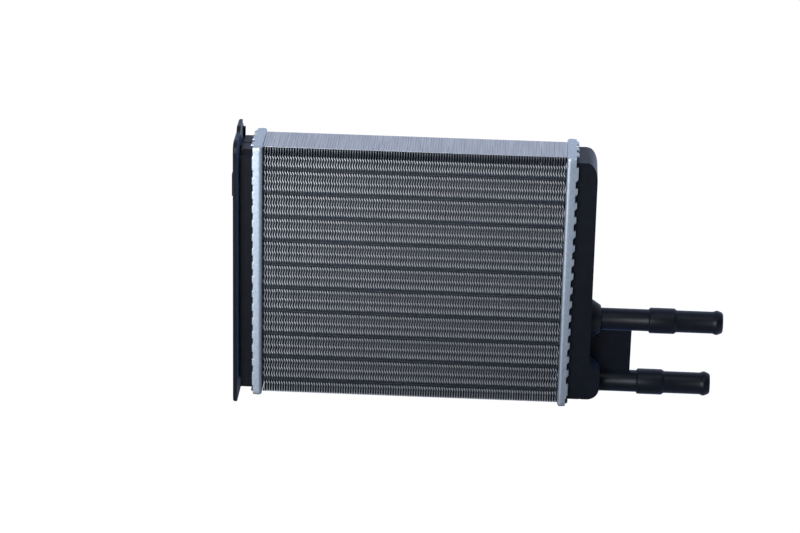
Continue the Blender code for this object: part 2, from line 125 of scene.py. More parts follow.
# Rolled aluminium foil, mill finish: bright on the folded flanges and along the cut front and
# rear edges, where painted light and shade run light and dark with the ridges and go black under
# every tube, and painted dark inside the core as shade.
foil = {
    # The inside colour is painted shade for the dark gaps deep in the core.
    "colour": "f6fafd", "shade": "e4e9ef", "skin": "d6dae2", "skinShade": "c2c7d0", "inside": "5e656d",
    "roughness": 0.44,
    # Mill lines run up the fins, and fold lines run across the skin.
    "rollLine": 0.6 * mm, "rollStretch": 12, "skinLine": 0.9 * mm, "skinStretch": 0.03,
    # The skin's colour starts between these depths below the top.
    "skinDepth": (0.8 * mm, 0.4 * mm),
    # How far back the cut edges look bright, also on the fins' faces but less there; further in
    # the fins are painted dark as shade. A face counts as a cut edge when its normal's share along y
    # is above these.
    "brightEdge": 0.6 * mm, "edgeBlend": 1.4 * mm, "faceShare": 0.30, "edgeTurn": (0.6, 0.8),
    # The painted bands' ends are ragged by this share of a tube pitch.
    "ragged": 0.035, "raggedSize": 2.4 * mm,
    # Painted light and shade on the edges over one tube pitch, going up from a front tube's axis,
    # with painted highlights on the ridges and painted shade that goes black under every tube.
    "paintedBands": [(0.0, 0.05), (0.10, 0.06), (0.135, 1.0), (0.17, 0.95), (0.30, 0.62), (0.33, 0.32),
              (0.42, 0.28), (0.455, 1.0), (0.525, 1.0), (0.56, 0.52), (0.67, 0.52), (0.70, 0.28),
              (0.78, 0.30), (0.81, 1.0), (0.90, 1.0), (0.93, 0.06)],
    # And painted shade under the skin over the top margin, in shares of its height below the top:
    # dull, black, as elsewhere.
    "margin": 10 * mm,
    "marginPaintedShade": [(0.0, 0.30), (0.43, 0.26), (0.47, 0.03), (0.74, 0.03), (0.78, 1.0)],
}


def makeFoil():
    made, tree, shader, place = startMaterial("rolledAluminiumFoil", {
        "Metallic": 1.0, "Roughness": foil["roughness"]})
    apart = addNode(tree, "ShaderNodeSeparateXYZ", links={"Vector": place})

    # Cut edges: faces that look forward or back, and a strip of the fins' faces beside them.
    # Elsewhere the fins get the inside colour, which is painted shade.
    normal = addNode(tree, "ShaderNodeNewGeometry").outputs["Normal"]
    turned = addNode(tree, "ShaderNodeSeparateXYZ", links={"Vector": normal})
    facing = addNode(tree, "ShaderNodeMath", {"operation": "ABSOLUTE"}, {0: turned.outputs["Y"]})
    cut = addNode(tree, "ShaderNodeMapRange", {
        "From Min": foil["edgeTurn"][0], "From Max": foil["edgeTurn"][1]}, {"Value": facing})
    depth = addNode(tree, "ShaderNodeMath", {"operation": "ABSOLUTE"}, {0: apart.outputs["Y"]})
    edge = addNode(tree, "ShaderNodeMapRange", {
        "From Min": packHigh.y - foil["brightEdge"] - foil["edgeBlend"],
        "From Max": packHigh.y - foil["brightEdge"]}, {"Value": depth})
    face = addNode(tree, "ShaderNodeMath", {"operation": "MULTIPLY", 1: foil["faceShare"]}, {0: edge})
    clearOfPaintedShade = addNode(tree, "ShaderNodeMath", {"operation": "MAXIMUM"}, {0: cut, 1: face})

    # Painted light and shade in bands over every tube pitch.
    height = addNode(tree, "ShaderNodeMath", {
        "operation": "MULTIPLY_ADD", 1: 1 / tubePitch, 2: -lowestTube / tubePitch},
        {0: apart.outputs["Z"]})
    rough = addNode(tree, "ShaderNodeTexNoise", {"Scale": 1 / foil["raggedSize"], "Detail": 2.0},
                    {"Vector": place})
    shift = addNode(tree, "ShaderNodeMath", {
        "operation": "MULTIPLY_ADD", 1: 2 * foil["ragged"], 2: -foil["ragged"]}, {0: rough})
    shifted = addNode(tree, "ShaderNodeMath", {"operation": "ADD"}, {0: height, 1: shift})
    phase = addNode(tree, "ShaderNodeMath", {"operation": "FRACT"}, {0: shifted})
    paintedBands = addNode(tree, "ShaderNodeValToRGB", links={"Fac": phase})
    setRamp(paintedBands, foil["paintedBands"])
    banded = addNode(tree, "ShaderNodeMath", {"operation": "MULTIPLY"}, {0: clearOfPaintedShade, 1: paintedBands})

    # Painted shade under the skin over the top margin.
    below = addNode(tree, "ShaderNodeMath", {
        "operation": "MULTIPLY_ADD", 1: -1 / foil["margin"], 2: packHigh.z / foil["margin"]},
        {0: apart.outputs["Z"]})
    margin = addNode(tree, "ShaderNodeValToRGB", links={"Fac": below})
    setRamp(margin, foil["marginPaintedShade"])
    paintedLightLevel = addNode(tree, "ShaderNodeMath", {"operation": "MULTIPLY"}, {0: banded, 1: margin})

    stretched = addNode(tree, "ShaderNodeMapping", {"Scale": (1.0, 1.0, foil["rollStretch"])},
                        {"Vector": place})
    tint = addBlotches(tree, stretched, foil["rollLine"] * foil["rollStretch"], 3.0,
                       [(0.35, foil["shade"]), (0.65, foil["colour"])])
    # Where the painted light level is low, the fins take the inside colour as painted shade.
    fin = addNode(tree, "ShaderNodeMixRGB", {"Color1": hexColour(foil["inside"])},
                  {"Fac": paintedLightLevel, "Color2": tint})

    # The skin of folded flanges.
    across = addNode(tree, "ShaderNodeMapping", {"Scale": (1.0, foil["skinStretch"], 1.0)},
                     {"Vector": place})
    skinTint = addBlotches(tree, across, foil["skinLine"], 2.0,
                           [(0.35, foil["skinShade"]), (0.65, foil["skin"])])
    skin = addNode(tree, "ShaderNodeMapRange", {
        "From Min": packHigh.z - foil["skinDepth"][0], "From Max": packHigh.z - foil["skinDepth"][1]},
        {"Value": apart.outputs["Z"]})
    whole = addNode(tree, "ShaderNodeMixRGB", links={"Fac": skin, "Color1": fin, "Color2": skinTint})
    tree.links.new(whole.outputs["Color"], shader.inputs["Base Color"])
    return made


# Pressed aluminium sheet of the header plates: satin, with the soft mottling of drawn sheet. Its
# grain is finer than a pixel here and only softens the highlights.
sheet = {"colour": "d3dfea", "shade": "c0cedb", "roughness": 0.42, "mottle": 2.2 * mm,
         "grain": 0.25 * mm, "bump": 0.12, "bumpDepth": 0.05 * mm}


def makeSheet():
    made, tree, shader, place = startMaterial("pressedAluminiumSheet", {
        "Metallic": 1.0, "Roughness": sheet["roughness"]})
    tint = addBlotches(tree, place, sheet["mottle"], 4.0,
                       [(0.3, sheet["shade"]), (0.7, sheet["colour"])])
    tree.links.new(tint.outputs["Color"], shader.inputs["Base Color"])
    addGrain(tree, shader, place, sheet)
    return made


# Glass filled nylon, moulded with a grain finer than a pixel here: blue-black, with a dull wide
# highlight and a bluish bloom where it is seen at a low angle.
nylon = {"colour": "0a0f18", "shade": "070a11", "roughness": 0.40, "specular": 0.20, "cloud": 8 * mm,
         "grain": 0.5 * mm, "bump": 0.15, "bumpDepth": 0.05 * mm,
         "bloom": "8fb0f0", "bloomWeight": 0.32, "bloomRoughness": 0.4}


def makeNylon():
    made, tree, shader, place = startMaterial("mouldedBlackNylon", {
        "Roughness": nylon["roughness"], "Specular IOR Level": nylon["specular"],
        "Sheen Weight": nylon["bloomWeight"], "Sheen Roughness": nylon["bloomRoughness"],
        "Sheen Tint": hexColour(nylon["bloom"])})
    tint = addBlotches(tree, place, nylon["cloud"], 4.0,
                       [(0.35, nylon["shade"]), (0.65, nylon["colour"])])
    tree.links.new(tint.outputs["Color"], shader.inputs["Base Color"])
    addGrain(tree, shader, place, nylon)
    return made


# Gasket rubber: dull black with a dusty bloom.
rubber = {"colour": "17181a", "shade": "101113", "roughness": 0.85, "bloom": 3.0 * mm}


def makeRubber():
    made, tree, shader, place = startMaterial("mouldedGasketRubber", {"Roughness": rubber["roughness"]})
    tint = addBlotches(tree, place, rubber["bloom"], 5.0,
                       [(0.4, rubber["shade"]), (0.7, rubber["colour"])])
    tree.links.new(tint.outputs["Color"], shader.inputs["Base Color"])
    return made


foilMaterial = makeFoil()
sheetMaterial = makeSheet()
nylonMaterial = makeNylon()
rubberMaterial = makeRubber()
print("materials made")


def dress(name, material):
    slots = nodes[name].material_slots
    for slot in slots:
        slot.material = material
    if not slots:
        nodes[name].data.materials.append(material)


def addPiece(name, bm, material, replaced=(), angle=35):
    bmesh.ops.recalc_face_normals(bm, faces=bm.faces)
    mesh = bpy.data.meshes.new(name)
    bm.to_mesh(mesh)
    bm.free()
    mesh.materials.append(material)
    mesh.shade_smooth()
    mesh.set_sharp_from_angle(angle=math.radians(angle))
    piece = bpy.data.objects.new(name, mesh)
    bpy.context.scene.collection.objects.link(piece)
    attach(piece, "root")
    if replaced:
        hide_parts(*replaced)


def addCuboid(bm, centre, size):
    place = Matrix.Translation(centre) @ Matrix.Diagonal((*size, 1))
    bmesh.ops.create_cube(bm, size=1.0, matrix=place)


def ease(value):
    value = min(1.0, max(0.0, value))
    return value * value * (3 - 2 * value)


# Fins: one folded strip for each, with three ridges to a tube pitch that run front to back.
# Going up, a ridge leans left over a short steep flank and comes back over a long one. Seen
# from above each fin is a shallow V as well, which hides what is behind the core. The real foil
# is about 0.1 mm thick and is drawn thicker so that it shows.
fins = {
    "count": 117, "foil": 0.55 * mm, "flange": 1.75 * mm, "bend": 0.2 * mm, "flangeDrop": 0.03 * mm,
    "ridgeHeight": 0.85 * mm, "ridgesPerPitch": 3, "rowsPerRidge": 8,
    "steepShare": 0.36, "steepCentre": 3.4 * mm, "plainEdge": 4.0 * mm, "edgeBlend": 4.0 * mm,
    # The V is left out near the flanges, and the last fin has less room for it.
    "veeDepth": 1.35 * mm, "veeLast": 1.0 * mm, "veeEdge": 1.0 * mm,
    # Each fin stands a little aside, wavers over its height and has ridges of its own strength.
    "aside": 0.05 * mm, "waver": 0.10 * mm, "weakest": 0.96,
    # Strips that carry the skin on to the header plates.
    "stripWidth": 1.3 * mm, "stripThick": 0.4 * mm, "stripInset": 0.2 * mm, "stripDrop": 0.25 * mm,
    "stripLeft": 0.2 * mm, "stripRight": 0.4 * mm,
    "blocks": 4, "seed": 11,
}
finMargin = (fins["foil"] + fins["ridgeHeight"]) / 2
finPitch = (packHigh.x - packLow.x - 2 * finMargin) / (fins["count"] - 1)


# Where a fin stands, and how deep its V is.
def finPlace(k):
    vee = fins["veeLast"] if k == fins["count"] - 1 else fins["veeDepth"]
    return packLow.x + finMargin + k * finPitch, vee


def ridgeOffset(z):
    steep = fins["steepShare"]
    ridgePitch = tubePitch / fins["ridgesPerPitch"]
    start = lowestTube + fins["steepCentre"] - steep * ridgePitch / 2
    phase = ((z - start) / ridgePitch) % 1.0
    if phase < steep:
        wave = math.cos(math.pi * phase / steep) / 2
    else:
        wave = -math.cos(math.pi * (phase - steep) / (1 - steep)) / 2
    strength = ease((min(z - packLow.z, packHigh.z - z) - fins["plainEdge"]) / fins["edgeBlend"])
    return strength * fins["ridgeHeight"] * wave


# Side view of a fin as (x, z): lower flange, bend, face, bend, upper flange.
def finProfile(x, low, high, reach, shifts, slow):
    bend = fins["bend"]
    drop = fins["flangeDrop"]
    corner = [math.pi / 2 * k / 3 for k in range(4)]
    profile = [(x + reach, low + drop)]
    profile += [(x + bend - bend * math.sin(a), low + bend - bend * math.cos(a)) for a in corner]
    for k, (z, shift) in enumerate(shifts):
        part = k / len(shifts) * (len(slow) - 1)
        i = int(part)
        aside = slow[i] + (slow[i + 1] - slow[i]) * (part - i)
        profile.append((x + shift + aside, z))
    profile += [(x + bend - bend * math.cos(a), high - bend + bend * math.sin(a)) for a in corner]
    profile.append((x + reach, high - drop))
    return profile


# Lines are (y, x shift) of the fin's front edge, fold and rear edge.
def addFin(bm, profile, lines):
    half = fins["foil"] / 2
    low, high = profile[0][1], profile[-1][1]
    rings = []
    for k, (px, pz) in enumerate(profile):
        before = profile[max(0, k - 1)]
        after = profile[min(len(profile) - 1, k + 1)]
        dx, dz = after[0] - before[0], after[1] - before[1]
        length = math.hypot(dx, dz)
        nx, nz = half * dz / length, -half * dx / length
        strength = ease((min(pz - low, high - pz) - fins["veeEdge"]) / fins["edgeBlend"])
        ring = [bm.verts.new((px - nx + strength * shift, y, pz - nz)) for y, shift in lines]
        ring += [bm.verts.new((px + nx + strength * shift, y, pz + nz)) for y, shift in reversed(lines)]
        rings.append(ring)
    for ring, beyond in zip(rings, rings[1:]):
        for k in range(len(ring)):
            after = (k + 1) % len(ring)
            bm.faces.new((ring[k], beyond[k], beyond[after], ring[after]))
    bm.faces.new(rings[0])
    bm.faces.new(list(reversed(rings[-1])))


def addStrips(bm, x):
    for z in (packHigh.z - fins["stripDrop"], packLow.z + fins["stripDrop"]):
        depth = packHigh.y - packLow.y - fins["stripInset"]
        addCuboid(bm, (x, 0, z), (fins["stripWidth"], depth, fins["stripThick"]))


def buildFins():
    low, high = packLow, packHigh
    inset = fins["foil"] / 2
    rng = random.Random(fins["seed"])
    rows = round((high.z - low.z) / tubePitch * fins["ridgesPerPitch"] * fins["rowsPerRidge"])
    levels = [low.z + (high.z - low.z) * k / rows for k in range(1, rows)]
    shifts = [(z, ridgeOffset(z)) for z in levels]
    perBlock = math.ceil(fins["count"] / fins["blocks"])
    for block in range(fins["blocks"]):
        bm = bmesh.new()
        for k in range(block * perBlock, min(fins["count"], (block + 1) * perBlock)):
            last = k == fins["count"] - 1
            x, vee = finPlace(k)
            x += 0 if k == 0 or last else rng.uniform(-1, 1) * fins["aside"]
            lines = [(low.y, 0), ((low.y + high.y) / 2, vee), (high.y, 0)]
            reach = high.x - x if last else fins["flange"]
            slow = [0, *[rng.uniform(-1, 1) * fins["waver"] for _ in range(4)], 0]
            strength = rng.uniform(fins["weakest"], 1.0)
            own = [(z, strength * shift) for z, shift in shifts]
            addFin(bm, finProfile(x, low.z + inset, high.z - inset, reach, own, slow), lines)
        if block == 0:
            addStrips(bm, low.x - fins["stripLeft"])
        if last:
            addStrips(bm, high.x + fins["stripRight"])
        addPiece(f"finBlock{block + 1}", bm, foilMaterial, ("fin_pack",), 40)
    print("fins made")


# A turned solid along x from (x, radius) points; a hollow one is closed by its bore.
def addTurned(bm, profile, y, z, sides, hollow=False):
    turns = [2 * math.pi * s / sides for s in range(sides)]
    rings = [[bm.verts.new((x, y + radius * math.sin(a), z + radius * math.cos(a))) for a in turns]
             for x, radius in profile]
    if hollow:
        rings.append(rings[0])
    for ring, beyond in zip(rings, rings[1:]):
        for s in range(sides):
            t = (s + 1) % sides
            bm.faces.new((ring[s], ring[t], beyond[t], beyond[s]))
    if not hollow:
        bm.faces.new(list(reversed(rings[0])))
        bm.faces.new(rings[-1])


# Collars: drawn out of each fin round the tube, and butted against the next fin. Flare and neck
# start this far right of a fin, and the gap is left before the next one.
collars = {"tube": 4.05 * mm, "collar": 4.3 * mm, "neckRadius": 4.4 * mm, "flareRadius": 5.1 * mm,
           "flare": 0.1 * mm, "neck": 0.5 * mm, "gap": 0.12 * mm,
           "start": 0.05 * mm, "end": 0.2 * mm, "sides": 16}


def buildCollars():
    for row in ("front", "rear"):
        bm = bmesh.new()
        for y, z in tubePlaces(row):
            profile = [(packLow.x + collars["start"], collars["tube"])]
            for k in range(fins["count"] - 1):
                x, vee = finPlace(k)
                x += vee / 2
                profile += [(x + collars["flare"], collars["flareRadius"]),
                            (x + collars["neck"], collars["neckRadius"]),
                            (x + finPitch - collars["gap"], collars["collar"])]
            end = packHigh.x - collars["end"]
            profile += [(end, collars["collar"]), (end, collars["tube"])]
            addTurned(bm, profile, y, z, collars["sides"])
        # The collars take the foil with its painted light and shade.
        addPiece(row + "Collars", bm, foilMaterial, (), 50)
    print("collars made")


# Header plates: a pan with a soft bend on the core side and a wall drawn in towards the rim. Crimp
# tabs fold over the tank's foot with a ragged edge, and those at the ends lean out over the tank.
headers = {
    "corner": 2.6 * mm, "bend": 2.3 * mm, "wall": 1.0 * mm, "recess": 0.42 * mm, "recessPower": 1.2,
    "pitch": 11.8 * mm, "endPitch": 13.2 * mm, "notch": 5.0 * mm, "endFlank": 0.4 * mm,
    "cornerSide": 8.2 * mm, "cornerEnd": 6.4 * mm, "lastTab": 12.0 * mm, "ragged": 0.16 * mm,
    # A folded tab: radius of its fold, how far in it reaches, its sheet and its inner corner.
    "fold": 1.0 * mm, "reach": 4.0 * mm, "tabSheet": 0.9 * mm, "tabInside": 1.1 * mm,
    # A leaning tab: how far in it bends, and the outer and inner corner of its tip.
    "leanBend": 0.8 * mm, "leanOuter": 1.3 * mm, "leanInner": 1.6 * mm, "leanBack": 0.1 * mm,
    # Inside of the pan, as (from the core side, inwards): the bend's end, its middle and the floor.
    "insideEase": 0.4 * mm, "insideStep": 0.05 * mm, "insideCorner": (1.3 * mm, 1.8 * mm),
    "insideFloor": 2.25 * mm,
    "step": 1.2 * mm, "seed": 5,
    # For each plate: depth of the notches, lengths of their upper and lower flanks, how far the
    # rim bulges out in its upper half, and how far the tabs at the ends lean out.
    "return_header": (1.1 * mm, 0.5 * mm, 0.5 * mm, 0.3 * mm, 1.0 * mm),
    "outlet_header": (1.9 * mm, 1.8 * mm, 0.06 * mm, 1.2 * mm, 0.1 * mm),
    "bulgeStart": 0.1,
}


def stepsBetween(start, end, step):
    count = max(1, round((end - start) / step))
    return [start + (end - start) * k / count for k in range(count + 1)]


# Stations along one side of the rim: distance along it, and how much of the tab is there.
def sideStations(length, notches, flanks):
    upper, lower = flanks
    marks = [(0.0, 0.0)]
    for start, end in notches:
        if start > 0:
            marks += [(start - lower, 1.0), (start, 0.0)]
        if end < length:
            marks += [(end, 0.0), (end + upper, 1.0)]
    marks.append((length, 0.0))
    stations = []
    for (at, tab), (beyond, tabBeyond) in zip(marks, marks[1:]):
        for place in stepsBetween(at, beyond, headers["step"])[:-1]:
            share = (place - at) / (beyond - at)
            stations.append((place, tab + (tabBeyond - tab) * share))
    return stations


# The rim's section as (distance from the core side, distance inwards): outside, then inside.
def rimSection(width, tab, notch, lean, ragged):
    bend, wall, fold, recess, inside = (
        headers[k] for k in ("bend", "wall", "fold", "recess", "tabInside"))
    outer = []
    for k in range(6):
        a = math.pi / 2 * k / 5
        outer.append((bend - bend * math.cos(a), bend * (1 - math.sin(a))))
    end = width - fold
    cutEnd = width - notch
    for k in range(1, 6):
        full = bend + (end - bend) * k / 5
        cut = bend + (cutEnd - bend) * k / 5
        t = tab * full + (1 - tab) * cut
        outer.append((t, recess * ((t - bend) / (end - bend)) ** headers["recessPower"]))
    folded = []
    for k in range(1, 5):
        a = math.pi / 2 * k / 4
        if lean:
            folded.append((end + (fold + lean + ragged) * k / 4,
                           recess + headers["leanBend"] * (k / 4) ** 2))
        else:
            folded.append((end + fold * math.sin(a), recess + fold * (1 - math.cos(a))))
    if lean:
        tip = width + lean + ragged
        folded += [(tip, recess + headers["leanOuter"]),
                   (tip - headers["leanBack"], recess + headers["leanInner"]), (end, recess + inside)]
    else:
        tip = headers["reach"] + ragged
        back = width - headers["tabSheet"]
        folded += [(width, tip), (back, tip), (back, recess + inside)]
    # In a notch the tab's points shrink into the wall's edge.
    edge = [(cutEnd, recess + wall * (k + 1) / (len(folded) + 1)) for k in range(len(folded))]
    rim = [(tab * t + (1 - tab) * edgeT, tab * r + (1 - tab) * edgeR)
           for (t, r), (edgeT, edgeR) in zip(folded, edge)]
    inner = [(min(end, cutEnd) - headers["insideEase"], recess + wall + headers["insideStep"]),
             (bend + headers["insideEase"], wall),
             headers["insideCorner"], (wall, headers["insideFloor"])]
    return outer + rim + inner


def buildHeader(name, side):
    low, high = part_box(name)
    width = high.x - low.x
    start = low.x if side > 0 else high.x
    notch, upper, lower, bulge, lean = headers[name]
    radius = headers["corner"]
    rng = random.Random(headers["seed"])
    long = high.z - low.z - 2 * radius
    short = high.y - low.y - 2 * radius
    middle = (high.z - low.z) / 2
    count = int((middle - headers["cornerSide"] - headers["lastTab"]) / headers["pitch"])
    half = headers["notch"] / 2
    # Notches as (start, end) along a side; the corners are notches too.
    sideCentres = [middle - radius + k * headers["pitch"] for k in range(-count, count + 1)]
    sideCuts = [(-1, headers["cornerSide"] - radius)]
    sideCuts += [(at - half, at + half) for at in sideCentres]
    sideCuts.append((long - headers["cornerSide"] + radius, long + 1))
    endCentres = [short / 2 + s * headers["endPitch"] / 2 for s in (-1, 1)]
    endCuts = [(-1, headers["cornerEnd"] - radius)]
    endCuts += [(at - half, at + half) for at in endCentres]
    endCuts.append((short - headers["cornerEnd"] + radius, short + 1))
    # Round the rim: up the front, back along the top, down the rear, forward along the bottom.
    up, down, ends = (upper, lower), (lower, upper), (headers["endFlank"], headers["endFlank"])
    sides = [((low.y, low.z + radius), (0, 1), (1, 0), long, sideCuts, up, 0),
             ((low.y + radius, high.z), (1, 0), (0, -1), short, endCuts, ends, lean),
             ((high.y, high.z - radius), (0, -1), (-1, 0), long, sideCuts, down, 0),
             ((high.y - radius, low.z), (-1, 0), (0, 1), short, endCuts, ends, lean)]
    bm = bmesh.new()
    rings = []

    def addRing(y, z, inY, inZ, tab, leaning):
        ragged = rng.uniform(-1, 1) * headers["ragged"]
        swelling = bulge * ease((z - low.z) / (high.z - low.z) - headers["bulgeStart"])
        section = rimSection(width + swelling, tab, notch, leaning, ragged)
        rings.append([bm.verts.new((start + side * t, y + r * inY, z + r * inZ)) for t, r in section])

    for (y, z), (alongY, alongZ), (inY, inZ), length, cuts, flanks, leaning in sides:
        for place, tab in sideStations(length, cuts, flanks):
            addRing(y + alongY * place, z + alongZ * place, inY, inZ, tab, leaning)
        centreY = y + alongY * length + inY * radius
        centreZ = z + alongZ * length + inZ * radius
        for k in range(6):
            a = math.pi / 2 * k / 6
            outY = -inY * math.cos(a) + alongY * math.sin(a)
            outZ = -inZ * math.cos(a) + alongZ * math.sin(a)
            addRing(centreY + outY * radius, centreZ + outZ * radius, -outY, -outZ, 0.0, leaning)
    for ring, beyond in zip(rings, rings[1:] + rings[:1]):
        for k in range(len(ring) - 1):
            bm.faces.new((ring[k], beyond[k], beyond[k + 1], ring[k + 1]))
    bm.faces.new([ring[0] for ring in rings])
    bm.faces.new([ring[-1] for ring in reversed(rings)])
    addPiece(name.split("_")[0] + "HeaderSheet", bm, sheetMaterial, (name,), 40)
    print(name + " made")


# Hose stubs: round, with a collar, a hose seat and a bead that runs out to a round end. The
# moulding gate leaves a small nib where the collar starts.
stubs = {
    "pipe": 8.75 * mm, "bore": 6.5 * mm, "sides": 64,
    # Each as (distance before the stub's end, radius), in mm.
    "form": [(58.9, 8.75), (58.5, 9.0), (57.8, 10.05), (57.3, 10.2), (39.0, 10.2), (38.4, 10.12),
             (36.7, 8.82), (36.2, 8.75), (8.0, 8.75), (7.6, 8.85), (6.0, 9.55), (5.4, 9.7),
             (4.6, 9.7), (4.0, 9.6), (1.7, 8.65), (1.0, 8.3), (0.4, 7.8), (0.0, 7.0), (0.0, 6.5)],
    "nibPlace": (-58.3 * mm, -1.0 * mm, 9.3 * mm), "nibSize": (0.9 * mm, 1.2 * mm, 1.6 * mm),
}


def buildStubs():
    for name in ("upper", "lower"):
        low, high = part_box(name + "_stub")
        y, z = (low.y + high.y) / 2, (low.z + high.z) / 2
        profile = [(low.x, stubs["pipe"])]
        profile += [(high.x - before * mm, radius * mm) for before, radius in stubs["form"]]
        profile.append((low.x, stubs["bore"]))
        bm = bmesh.new()
        addTurned(bm, profile, y, z, stubs["sides"], True)
        nib = [at + past for at, past in zip((high.x, y, z), stubs["nibPlace"])]
        addCuboid(bm, nib, stubs["nibSize"])
        addPiece(name + "StubSmooth", bm, nylonMaterial, (name + "_stub",), 40)
    print("stubs made")


# A quarter of an oval as (x, z) points, from its starting angle on.
def quarter(x, z, reach, rise, start, steps=14):
    turns = [math.radians(start + 90 * k / steps) for k in range(steps + 1)]
    return [(x + reach * math.cos(a), z + rise * math.sin(a)) for a in turns]


# A block with an (x, z) outline over a depth, all in mm. Its edges right of roundFrom are
# rounded, so that lies a little left of the first of them.
def addBlock(bm, outline, half, roundFrom, radius, segments=5):
    own = bmesh.new()
    sides = [[own.verts.new((x * mm, y * mm, z * mm)) for x, z in outline] for y in (-half, half)]
    own.faces.new(sides[0])
    own.faces.new(list(reversed(sides[1])))
    for k in range(len(outline)):
        after = (k + 1) % len(outline)
        own.faces.new((sides[0][k], sides[1][k], sides[1][after], sides[0][after]))
    edges = [e for e in own.edges if abs(e.verts[0].co.y - e.verts[1].co.y) < 1e-6
             and min(v.co.x for v in e.verts) > roundFrom * mm]
    if radius:
        bmesh.ops.bevel(own, geom=edges, offset=radius * mm, segments=segments, profile=0.5,
                        affect="EDGES", clamp_overlap=True)
    bmesh.ops.recalc_face_normals(own, faces=own.faces)
    mesh = bpy.data.meshes.new("block")
    own.to_mesh(mesh)
    own.free()
    bm.from_mesh(mesh)
    bpy.data.meshes.remove(mesh)


# Outlet tank: soft moulded corners, a cone under the upper stub, and a boss over the whole
# depth under the lower one, with a web between the two. All in mm.
tank = {
    "depth": 38.0, "start": 72.0, "face": 89.6, "low": 10.4, "high": 209.9, "reach": 8.6,
    "rise": 15.5, "fillet": 4.2, "foot": 2.4, "inside": 83.6,
    # The cone as (x past the face, radius).
    "cone": [(-3.0, 15.7), (0.0, 15.6), (7.1, 11.0), (7.6, 10.3)], "coneSides": 64,
    # The boss stays a little behind the tank's front, so that the two don't lie in one plane.
    "bossFace": 98.0, "bossTop": 33.8, "bossSlope": 7.7, "bossCorner": 9.8, "bossFillet": 2.4,
    "bossBack": 0.06,
    # The web's edges lie inside the stubs, this far from their axes.
    "web": 3.0, "webEnd": 122.1, "webLean": 0.2, "webInset": 4.0, "webFillet": 0.4,
}


def buildOutletTank():
    half = tank["depth"] / 2
    face, low, high, reach, rise = (tank[k] for k in ("face", "low", "high", "reach", "rise"))
    bm = bmesh.new()
    outline = [(tank["start"], low)]
    outline += quarter(face - reach, low + reach, reach, reach, -90)
    outline += quarter(face - reach, high - rise, reach, rise, 0)
    outline.append((tank["start"], high))
    addBlock(bm, outline, half, face - reach - 0.3, tank["fillet"])

    gasketLow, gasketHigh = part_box("outlet_gasket")
    left, right = gasketHigh.x / mm, gasketHigh.x / mm + tank["foot"]
    bottom, top = gasketLow.z / mm, gasketHigh.z / mm
    foot = [(left, bottom), (right, bottom), (right, top), (left, top)]
    addBlock(bm, foot, gasketHigh.y / mm, 0, 0)

    upperLow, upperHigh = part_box("upper_stub")
    lowerLow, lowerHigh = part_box("lower_stub")
    upperZ = (upperLow.z + upperHigh.z) / 2 / mm
    lowerZ = (lowerLow.z + lowerHigh.z) / 2 / mm
    cone = [((face + past) * mm, radius * mm) for past, radius in tank["cone"]]
    addTurned(bm, cone, 0, upperZ * mm, tank["coneSides"])

    inside, corner, shoulder = tank["inside"], tank["bossCorner"], tank["bossTop"] + tank["bossSlope"]
    boss = [(inside, low)]
    boss += quarter(tank["bossFace"] - corner, low + corner, corner, corner, -90)
    boss += [(tank["bossFace"], tank["bossTop"]), (face, shoulder), (inside, shoulder)]
    addBlock(bm, boss, half - tank["bossBack"], inside + 1, tank["bossFillet"], 4)

    bottom, top = lowerZ + tank["webInset"], upperZ - tank["webInset"]
    right = tank["webEnd"]
    web = [(inside, bottom), (right, bottom), (right + tank["webLean"], top), (inside, top)]
    addBlock(bm, web, tank["web"] / 2, right - 1, tank["webFillet"], 2)
    addPiece("outletTankSmooth", bm, nylonMaterial, ("outlet_tank",), 35)
    print("outlet tank made")


# Return tank: two raised panels along its top, each with a round end at the closing plate. All
# in mm; the spans are from front to back.
panels = {"spans": [(-14.6, -0.5), (1.1, 17.6)], "left": -187.4, "right": -178.4, "top": 209.9,
          "rise": 0.5, "sunk": 0.4, "round": 1.6}


def buildPanels():
    radius = panels["round"]
    centre = panels["left"] + radius
    bm = bmesh.new()
    for start, end in panels["spans"]:
        outline = quarter(centre, start + radius, radius, radius, 180, 5)
        outline += [(panels["right"], start), (panels["right"], end)]
        outline += quarter(centre, end - radius, radius, radius, 90, 5)
        rings = [[bm.verts.new((x * mm, y * mm, z * mm)) for x, y in outline]
                 for z in (panels["top"] - panels["sunk"], panels["top"] + panels["rise"])]
        for k in range(len(outline)):
            after = (k + 1) % len(outline)
            bm.faces.new((rings[0][k], rings[0][after], rings[1][after], rings[1][k]))
        bm.faces.new(list(reversed(rings[0])))
        bm.faces.new(rings[1])
    addPiece("returnTankPanels", bm, nylonMaterial, (), 35)
    print("return tank's panels made")


buildFins()
buildCollars()
buildHeader("return_header", -1)
buildHeader("outlet_header", 1)
buildStubs()
buildOutletTank()
buildPanels()
# The tubes take the foil with its painted light and shade, the gaskets the rubber and the tanks the
# nylon.
for name in nodes:
    if "tube" in name:
        dress(name, foilMaterial)
    elif "gasket" in name:
        dress(name, rubberMaterial)
    elif "tank" in name:
        dress(name, nylonMaterial)
print("solids dressed")


# Studio: the camera sees the floor and the surround as white. The surround's own light is dim
# and bluish, and brighter behind the object.
studio = {
    "floor": "f4f5f7", "floorRoughness": 0.9, "floorSpecular": 0.1, "floorSize": 6.0,
    "floorDrop": 0.2 * mm,
    # How much of the floor's own glow the camera and the reflections see, and its strength.
    "cameraShare": 0.95, "glossyShare": 0.6, "cameraGlow": 1.06,
    # The glow in reflections starts behind the object, and further forward past these distances
    # to its right and left, as (direction, distance, gain).
    "glowBlend": 0.6, "glowSides": [(1.0, 0.12, 2.2), (-1.0, 0.13, 2.5)],
    "surround": "dfe6f8", "front": -0.5, "frontStrength": 0.12, "back": 0.7, "backStrength": 0.80,
}
white = (1, 1, 1, 1)


